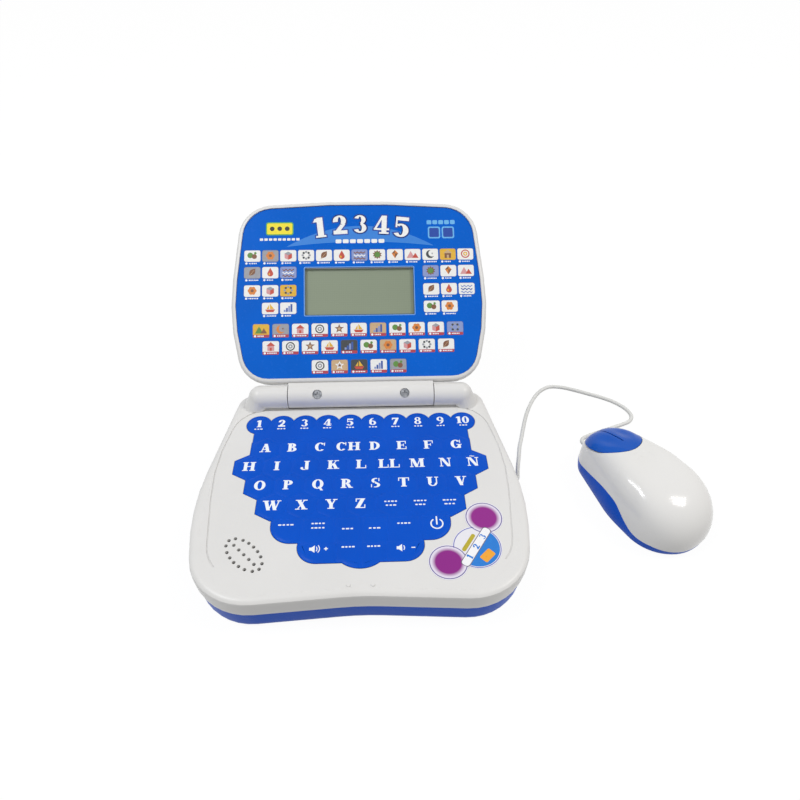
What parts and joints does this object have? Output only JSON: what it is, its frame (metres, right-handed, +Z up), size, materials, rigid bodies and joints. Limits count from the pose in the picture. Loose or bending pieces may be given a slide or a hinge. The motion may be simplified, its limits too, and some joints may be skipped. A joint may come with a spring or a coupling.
{
  "type": "toy laptop computer",
  "caption": "Toy laptop computer with a folding lid, a small display, a membrane keypad, a speaker and a corded toy mouse.",
  "frame": {"origin": "middle of the laptop's flat underside, on the table surface", "axes": "+X to the user's right, +Y towards the hinge and the lid, +Z up"},
  "size_m": [0.2881, 0.2405, 0.1145],
  "materials": {
    "white_shell": "semi-gloss",
    "blue_shell": "semi-gloss",
    "keypad_print": "satin film with printed legends",
    "membrane": "matt film",
    "lid_print": "glossy printed film",
    "sticker": "glossy printed film",
    "screw_steel": "zinc plated",
    "contact_steel": "plated",
    "cell": "printed sleeve",
    "circuit_board": "solder mask",
    "electronics": "matt",
    "cone": "matt",
    "liquid_crystal": "polished, grey-green polariser",
    "zebra_rubber": "matt",
    "inner_cable": "matt PVC",
    "cord": "satin PVC"
  },
  "bodies": {
    "base": {"base_bottom_shell": "blue_shell", "base_top_shell": "white_shell", "base_screws": "screw_steel", "battery_cells": "cell", "battery_contacts": "contact_steel", "main_board": "circuit_board", "main_board_parts": "electronics", "main_board_screws": "screw_steel", "wire_harness": "inner_cable", "speaker_frame": "contact_steel", "speaker_cone": "cone", "speaker_magnet": "contact_steel", "keypad_overlay": "keypad_print", "keypad_spacer": "membrane", "keypad_circuit": "membrane", "deck_sticker": "sticker", "lid_cable_lower": "inner_cable", "cord_bush": "white_shell", "mouse_cord": "cord"},
    "battery_door": {"battery_door": "blue_shell", "battery_door_screws": "screw_steel"},
    "lid": {"lid_back_shell": "white_shell", "lid_front_shell": "white_shell", "lid_film": "lid_print", "lid_screws": "screw_steel", "hinge_cover": "white_shell", "hinge_screws": "screw_steel", "display_glass": "liquid_crystal", "display_strips": "zebra_rubber", "display_board": "circuit_board", "display_board_chip": "electronics", "display_board_screws": "screw_steel", "lid_cable_upper": "inner_cable"},
    "mouse": {"mouse_top_shell": "white_shell", "mouse_bottom_shell": "blue_shell", "mouse_button_bridge": "blue_shell", "mouse_board": "circuit_board", "mouse_switches": "electronics", "mouse_screws": "screw_steel", "mouse_cord_bush": "white_shell"},
    "left_button": {"mouse_button_left": "blue_shell"},
    "right_button": {"mouse_button_right": "blue_shell"}
  },
  "joints": [
    {"name": "lid_hinge", "type": "hinge", "parent": "base", "child": "lid", "pos_m": [0, 0.0642, 0.0315], "axis": [1, 0, 0], "range_deg": [0, 141]},
    {"name": "battery_door_lift", "type": "slide", "parent": "base", "child": "battery_door", "axis": [0, 0, -1], "range_m": [0, 0.012]},
    {"name": "mouse_slide", "type": "slide", "parent": "base", "child": "mouse", "axis": [-0.4772, 0.8788, 0], "range_m": [-0.015, 0.015], "deforming": ["mouse_cord"]},
    {"name": "left_button_press", "type": "hinge", "parent": "mouse", "child": "left_button", "pos_m": [0.1531, 0.02023, 0.031], "axis": [-0.8788, -0.4772, 0], "range_deg": [0, 1.5], "stiffness_Nm_per_rad": 0.2},
    {"name": "right_button_press", "type": "hinge", "parent": "mouse", "child": "right_button", "pos_m": [0.1531, 0.02023, 0.031], "axis": [-0.8788, -0.4772, 0], "range_deg": [0, 1.5], "stiffness_Nm_per_rad": 0.2}
  ]
}
